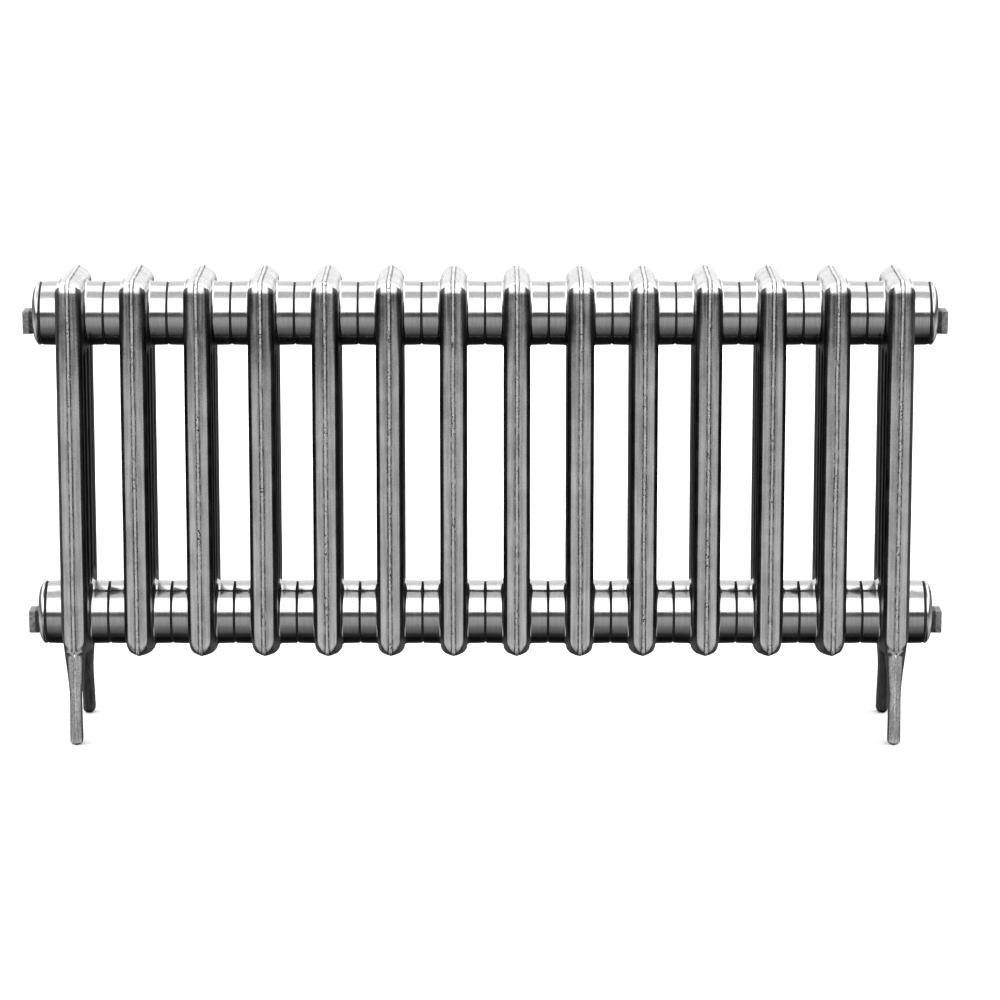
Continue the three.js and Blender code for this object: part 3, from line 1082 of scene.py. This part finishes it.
def iron_pits_and_groove_shade(nodes, offset, hub, height):
    """Casting pits in patches by the ridge, a few stray ones, and painted shade in the grooves."""
    near_ridge = nodes.ramp(offset, 1.2 * MM, 4.2 * MM, 1.0, 0.0)
    patch = nodes.ramp(nodes.noise(30, 2), 0.45, 0.60, 0.12, 1.0)
    patch = nodes.times(patch, nodes.ramp(height, *FOOT_TOP, 0.3, 1.0))
    pit = nodes.ramp(nodes.noise(1.9, 4, 0.75, LOW_PITS), 0.515, 0.585)
    pits_and_groove_shade = nodes.times(nodes.times(pit, near_ridge), patch)
    stray = nodes.ramp(nodes.noise(1.3, 3, 0.65), 0.67, 0.74, 0.0, 0.6)
    pits_and_groove_shade = nodes.math("MAXIMUM", pits_and_groove_shade, nodes.times(stray, nodes.invert(hub)))
    # Painted shade in the grooves beside the bead, mottled by noise.
    painted_groove_shade = nodes.ramp(nodes.noise(7, 4), 0.36, 0.56, 0.35, 1.0)
    painted_groove_shade = nodes.times(nodes.attribute("groove"), painted_groove_shade)
    return nodes.math("MAXIMUM", pits_and_groove_shade, nodes.times(painted_groove_shade, 0.85))


def iron_relief(nodes, hub, pits_and_groove_shade):
    """Grain, brushed lines on the columns, turned rings on the hubs, and dents at the pits and the
    painted groove shade.
    """
    grain = nodes.times(nodes.noise(0.9, 3, 0.65), nodes.mix_value(hub, 1.0, 0.25))
    shallow = nodes.bump(grain, 0.005)
    brushed = nodes.times(nodes.noise(0.45, 2, 0.5, UPRIGHT), nodes.invert(hub))
    lines = nodes.bump(brushed, 0.007, shallow)
    rings = nodes.times(nodes.noise(0.5, 2, 0.5, HUB_RINGS), hub)
    turned = nodes.bump(rings, 0.004, lines)
    return nodes.bump(nodes.invert(pits_and_groove_shade), 0.10, turned)


def polished_iron():
    nodes = Nodes("polished_cast_iron")
    nodes.shader.inputs["Metallic"].default_value = 1.0
    along, _, height = nodes.axes(nodes.place)
    offset = offset_from_ridge(nodes, along)
    hub = nodes.ramp(offset, (BODY_HALF_WIDTH + 0.2) * MM, (BODY_HALF_WIDTH + 1.2) * MM)
    cloud = nodes.noise(24, 4)
    speck = nodes.noise(1.5, 3, 0.7)
    tone = iron_tone(nodes, cloud, speck)
    pits_and_groove_shade = iron_pits_and_groove_shade(nodes, offset, hub, height)

    skin_and_painted_shade = nodes.mix_color(tone, grey(0.030), grey(0.085))
    # The polish share carries painted light and shade. Where it is low, the dark skin stands partly
    # for real skin and partly for painted shade; where it is high, the polish is partly painted
    # light.
    ragged_polish_and_painted_light = nodes.plus(nodes.attribute("polish_with_painted_light_and_shade"), nodes.times(nodes.minus(speck, 0.5), 0.35))
    polish_with_painted_light_and_shade = nodes.ramp(ragged_polish_and_painted_light, 0.25, 0.75)
    color = nodes.mix_color(polish_with_painted_light_and_shade, skin_and_painted_shade, ground_iron_with_top_shade(nodes, tone, hub, height))
    bead = nodes.times(nodes.attribute("bead"), nodes.ramp(nodes.noise(11, 3), 0.34, 0.50, 0.25, 1.0))
    color = nodes.mix_color(bead, color, grey(0.86))
    # Pits, and painted shade in the grooves, in near black.
    color = nodes.mix_color(pits_and_groove_shade, color, grey(0.035))

    rough = nodes.ramp(speck, 0.3, 0.7, 0.23, 0.34)
    rough = nodes.mix_value(hub, rough, nodes.ramp(cloud, 0.35, 0.65, 0.10, 0.17))
    rough = nodes.mix_value(polish_with_painted_light_and_shade, nodes.ramp(cloud, 0.3, 0.7, 0.36, 0.50), rough)
    rough = nodes.math("ADD", rough, nodes.times(pits_and_groove_shade, 0.25), clamp=True)
    return nodes.surface(color, rough, iron_relief(nodes, hub, pits_and_groove_shade))


def plug_iron():
    """Dark unground plugs, with painted shade on the collar against the bush."""
    nodes = Nodes("plug_iron")
    nodes.shader.inputs["Metallic"].default_value = 0.85
    out = nodes.math("ABSOLUTE", nodes.axes(nodes.place)[0])
    head_start = box_mm("plug_top_right")[1][0] - PLUG_OUTSIDE[-1][0] + COLLAR_SHADE_REACH
    head = nodes.ramp(out, (head_start - 0.6) * MM, (head_start + 0.8) * MM)
    tone = nodes.ramp(nodes.noise(3, 4, 0.65), 0.35, 0.65)
    iron = nodes.mix_color(tone, grey(0.15), grey(0.28))
    # Painted shade on the collar, where the plug meets the bush.
    painted_collar_shade = nodes.mix_color(tone, grey(0.035), grey(0.075))
    color = nodes.mix_color(head, painted_collar_shade, iron)
    rough = nodes.ramp(tone, 0, 1, 0.38, 0.52)
    return nodes.surface(color, rough, nodes.bump(nodes.noise(0.8, 4, 0.65), 0.05))


def turned_steel(name, dark, light, low_rough, high_rough):
    """Lathe-turned metal with fine rings round X."""
    nodes = Nodes(name)
    nodes.shader.inputs["Metallic"].default_value = 1.0
    tone = nodes.ramp(nodes.noise(9, 4), 0.35, 0.65)
    rough = nodes.ramp(nodes.noise(4, 3), 0.3, 0.7, low_rough, high_rough)
    grain = nodes.bump(nodes.noise(0.7, 3, 0.6), 0.01)
    rings = nodes.bump(nodes.noise(0.5, 2, 0.5, LATHE_RINGS), 0.008, grain)
    return nodes.surface(nodes.mix_color(tone, dark, light), rough, rings)


def jointing_ring():
    """Matt black fibre and rubber."""
    nodes = Nodes("jointing_ring")
    tone = nodes.ramp(nodes.noise(1.5, 4), 0.35, 0.65)
    color = nodes.mix_color(tone, grey(0.008), grey(0.022))
    rough = nodes.ramp(tone, 0, 1, 0.6, 0.85)
    return nodes.surface(color, rough, nodes.bump(nodes.noise(0.6, 3), 0.03))


# ---- Stage, light and camera ----

FLOOR_SIZE = 60.0
CAMERA_AIM = (0.0145, 0.0, 0.2315)
CAMERA_DISTANCE = 4.2
CAMERA_ELEVATION = 11.4
CAMERA_LENS = 153.0
CAMERA_SENSOR = 36.0
CAMERA_REACH = 200.0


def make_camera():
    data = bpy.data.cameras.new("camera")
    data.lens = CAMERA_LENS
    data.sensor_width = CAMERA_SENSOR
    data.clip_end = CAMERA_REACH
    camera = bpy.data.objects.new("camera", data)
    bpy.context.scene.collection.objects.link(camera)
    lift = math.radians(CAMERA_ELEVATION)
    away = Vector((0, -math.cos(lift), math.sin(lift)))
    camera.location = Vector(CAMERA_AIM) + CAMERA_DISTANCE * away
    camera.rotation_euler = (math.pi / 2 - lift, 0, 0)
    bpy.context.scene.camera = camera


def floor_material():
    nodes = Nodes("pale_floor")
    tone = nodes.ramp(nodes.noise(400, 2), 0.3, 0.7)
    color = nodes.mix_color(tone, grey(0.86), grey(0.88))
    nodes.join(color, nodes.shader.inputs["Base Color"])
    nodes.shader.inputs["Roughness"].default_value = 0.9
    nodes.shader.inputs["Specular IOR Level"].default_value = 0.0
    return nodes.material


def make_floor():
    half = FLOOR_SIZE / 2
    mesh = bpy.data.meshes.new("floor")
    corners = [(-half, -half, 0), (half, -half, 0), (half, half, 0), (-half, half, 0)]
    mesh.from_pydata(corners, [], [(0, 1, 2, 3)])
    mesh.materials.append(floor_material())
    floor = bpy.data.objects.new("floor", mesh)
    bpy.context.scene.collection.objects.link(floor)
    floor.visible_glossy = False


# Studio sky in degrees and brightness. Along the middle the angle turns from straight down
# behind (-180) by straight down (-90), the front horizon (0) and overhead (90) to the back
# horizon (180). To the sides it is the elevation only.
MIDDLE_SKY = [
    (-180, 1.1),
    (-176, 0.8),
    (-172.5, 0.22),
    (-150, 0.20),
    (-120, 0.04),
    (-80, 0.03),
    (-68, 0.14),
    (-48, 0.25),
    (-34, 0.46),
    (-10, 0.60),
    (-5, 0.20),
    (0, 0.10),
    (9, 0.12),
    (14, 2.6),
    (32, 2.9),
    (58, 2.6),
    (66, 0.95),
    (88, 0.85),
    (96, 2.3),
    (116, 2.3),
    (128, 1.15),
    (176, 1.2),
    (180, 1.1),
]
SIDE_SKY = [
    (-90, 0.03),
    (-62, 0.10),
    (-46, 0.40),
    (-26, 0.80),
    (-15, 0.82),
    (-9, 0.50),
    (-4, 0.24),
    (4, 0.22),
    (12, 2.1),
    (32, 2.6),
    (58, 2.6),
    (74, 1.7),
    (90, 1.5),
]
# How the low part of the side sky varies with the sideways share of the direction, the
# elevations over which that ends, and the shares over which the side sky takes over.
SIDE_SHADE = [(0.0, 0.55), (0.58, 0.55), (0.68, 0.95), (0.78, 1.2), (0.88, 0.9), (1.0, 0.6)]
SIDE_SHADE_END = (2.0, 10.0)
SIDE_BLEND = (0.28, 0.52)


def brightness(nodes, value, table, low, high, top):
    """The table's brightness at a value that runs from low to high, as a share of top."""
    node = nodes.add("ShaderNodeValToRGB")
    nodes.join(nodes.math("DIVIDE", nodes.minus(value, low), high - low), node.inputs["Fac"])
    stops = node.color_ramp.elements
    while len(stops) < len(table):
        stops.new(0.5)
    for stop, (place, level) in zip(stops, table):
        stop.position = (place - low) / (high - low)
        stop.color = (*grey(level / top), 1)
    return node.outputs["Color"]


def make_world():
    world = bpy.data.worlds.new("studio")
    world.use_nodes = True
    bpy.context.scene.world = world
    nodes = NodeTree(world.node_tree)
    direction = nodes.add("ShaderNodeTexCoord").outputs["Generated"]
    side, back, up = nodes.axes(direction)
    turn = nodes.math("DEGREES", nodes.math("ARCTAN2", up, nodes.times(back, -1.0)))
    elevation = nodes.math("DEGREES", nodes.math("ARCSINE", up))
    sideways = nodes.math("ABSOLUTE", side)
    top = max(level for _, level in MIDDLE_SKY + SIDE_SKY)
    middle_light = brightness(nodes, turn, MIDDLE_SKY, -180, 180, top)
    side_light = brightness(nodes, elevation, SIDE_SKY, -90, 90, top)
    shade_top = max(level for _, level in SIDE_SHADE)
    shade = brightness(nodes, sideways, SIDE_SHADE, 0, 1, shade_top)
    low_down = nodes.ramp(elevation, *SIDE_SHADE_END, 1.0, 0.0)
    shade = nodes.math("POWER", nodes.times(shade, shade_top), low_down)
    to_side = nodes.ramp(sideways, *SIDE_BLEND)
    middle_part = nodes.times(middle_light, nodes.invert(to_side))
    side_part = nodes.times(nodes.times(side_light, shade), to_side)
    level = nodes.times(nodes.plus(middle_part, side_part), top)
    background = nodes.tree.nodes["Background"]
    nodes.join(level, background.inputs["Strength"])
    background.inputs["Color"].default_value = (1, 1, 1, 1)


def set_view():
    scene = bpy.context.scene
    scene.view_settings.view_transform = "Standard"
    scene.view_settings.look = "None"


make_camera()
iron = polished_iron()
nipple_metal = turned_steel("nipple_steel", (0.30, 0.29, 0.27), (0.42, 0.41, 0.39), 0.28, 0.42)
bush_metal = turned_steel("bush_steel", grey(0.44), grey(0.56), 0.12, 0.20)
plug_metal = plug_iron()
ring_rubber = jointing_ring()
add_castings(iron)
add_joints(nipple_metal, ring_rubber)
add_end_fittings(bush_metal, plug_metal, ring_rubber)
make_floor()
make_world()
set_view()
